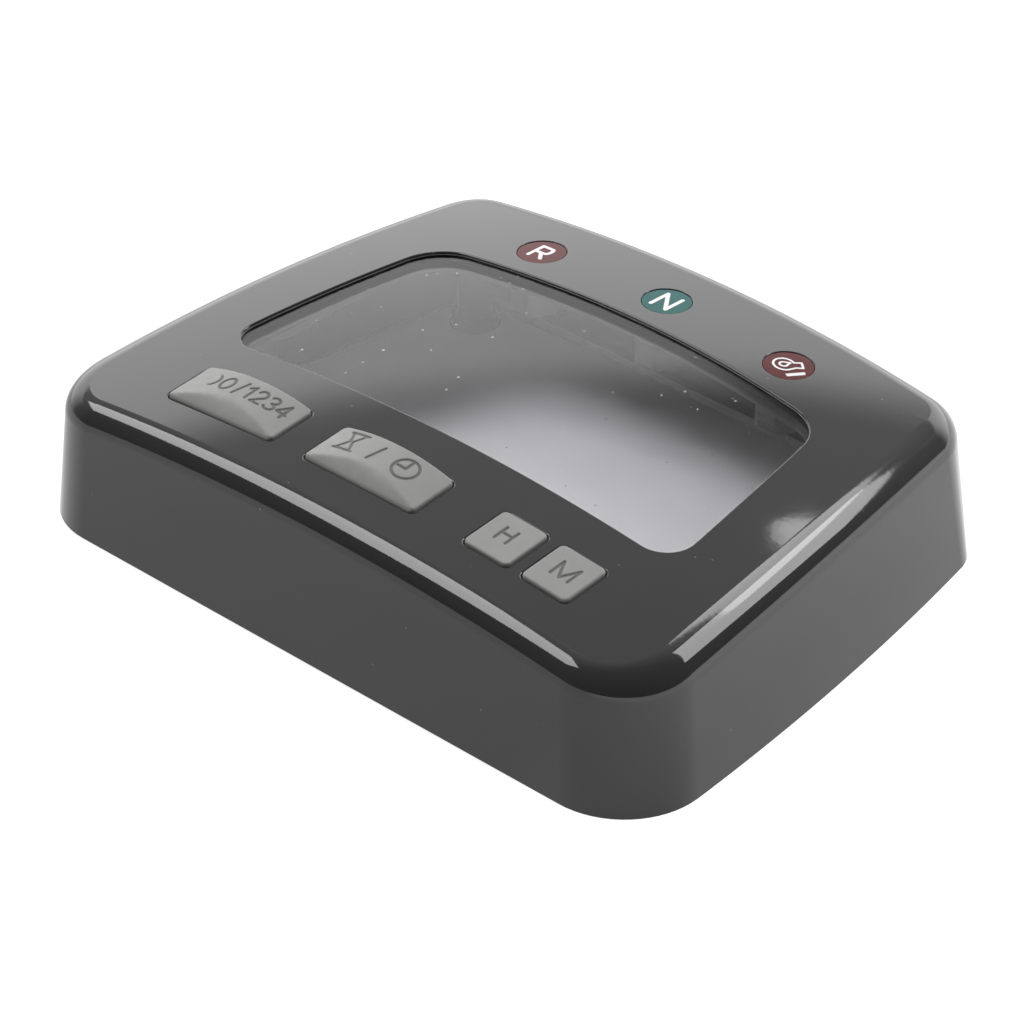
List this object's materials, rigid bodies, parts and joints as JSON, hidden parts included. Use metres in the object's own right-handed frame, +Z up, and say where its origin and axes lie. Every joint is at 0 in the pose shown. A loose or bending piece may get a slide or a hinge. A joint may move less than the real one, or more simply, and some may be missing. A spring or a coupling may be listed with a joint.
{
  "type": "vehicle instrument display",
  "caption": "Crowned handlebar instrument with a clear display window, tell-tale lamps along the back, sprung keys along the front and a socket and mounting inserts underneath.",
  "frame": {"origin": "middle of the bottom rim's bounding box, on the plane that the case stands on", "axes": "+X to the right along the key edge, +Y from the keys to the lamps, +Z up through the window"},
  "size_m": [0.1406, 0.1044, 0.0324],
  "materials": {
    "case_black": "piano-gloss ABS, faint flow lines and fine scuffs",
    "lens_clear": "clear polycarbonate window, polished",
    "tape_black": "matt acrylic foam tape",
    "lamp_red": "translucent dark red lens with a white legend",
    "lamp_green": "translucent blue-green lens with a white legend",
    "key_grey": "moulded silicone, satin, engraved dark legends",
    "cover_black": "spark-eroded ABS",
    "board_green": "solder mask over copper tracks",
    "board_black": "black solder mask",
    "led_white": "cast epoxy",
    "chip_black": "moulded epoxy with tinned leads",
    "steel": "zinc-plated steel",
    "brass": "turned brass",
    "film": "polyimide film",
    "reflector_white": "white polyester sheet",
    "foam_black": "closed-cell foam",
    "lcd_glass": "display glass, switched off",
    "socket_black": "glass-filled nylon",
    "seal_black": "moulded EPDM",
    "mat_grey": "moulded silicone, matt",
    "capacitor_sleeve": "shrink sleeve"
  },
  "bodies": {
    "housing": {"upper_case": "case_black", "window_lens": "lens_clear", "lens_adhesive": "tape_black", "lens_retainer": "case_black", "reverse_lamp_lens": "lamp_red", "neutral_lamp_lens": "lamp_green", "oil_lamp_lens": "lamp_red", "lamp_board": "board_black", "indicator_leds": "led_white", "lamp_board_screws": "steel", "lamp_jumper": "film", "jumper_sockets": "socket_black", "lcd_front_glass": "lcd_glass", "lcd_rear_glass": "lcd_glass", "lcd_foam_strips": "foam_black", "lcd_left_bracket": "cover_black", "lcd_right_bracket": "cover_black", "lcd_bracket_screws": "steel", "lcd_flex": "film", "reflector_sheet": "reflector_white", "backlight_leds": "led_white", "main_board": "board_green", "main_board_screws": "steel", "controller_chip": "chip_black", "memory_chip": "chip_black", "clock_crystal": "steel", "voltage_regulator": "chip_black", "filter_capacitors": "capacitor_sleeve", "speed_input_coil": "chip_black", "harness_socket": "socket_black", "harness_pins": "brass", "trip_key_switch": "chip_black", "time_key_switch": "chip_black", "hour_key_switch": "chip_black", "minute_key_switch": "chip_black", "switch_domes": "steel", "keypad_mat": "mat_grey", "back_cover": "cover_black", "cover_seal": "seal_black", "case_screws": "steel", "mount_inserts": "brass", "vent_plug": "seal_black"},
    "trip_key": {"trip_key": "key_grey", "trip_key_plunger": "socket_black"},
    "time_key": {"time_key": "key_grey", "time_key_plunger": "socket_black"},
    "hour_key": {"hour_key": "key_grey", "hour_key_plunger": "socket_black"},
    "minute_key": {"minute_key": "key_grey", "minute_key_plunger": "socket_black"}
  },
  "joints": [
    {"name": "trip_key_press", "type": "slide", "parent": "housing", "child": "trip_key", "axis": [0, 0, -1], "range_m": [0, 0.0008], "stiffness_N_per_m": 800, "springref_m": -0.0005},
    {"name": "time_key_press", "type": "slide", "parent": "housing", "child": "time_key", "axis": [0, 0, -1], "range_m": [0, 0.0008], "stiffness_N_per_m": 800, "springref_m": -0.0005},
    {"name": "hour_key_press", "type": "slide", "parent": "housing", "child": "hour_key", "axis": [0, 0, -1], "range_m": [0, 0.0008], "stiffness_N_per_m": 800, "springref_m": -0.0005},
    {"name": "minute_key_press", "type": "slide", "parent": "housing", "child": "minute_key", "axis": [0, 0, -1], "range_m": [0, 0.0008], "stiffness_N_per_m": 800, "springref_m": -0.0005}
  ]
}
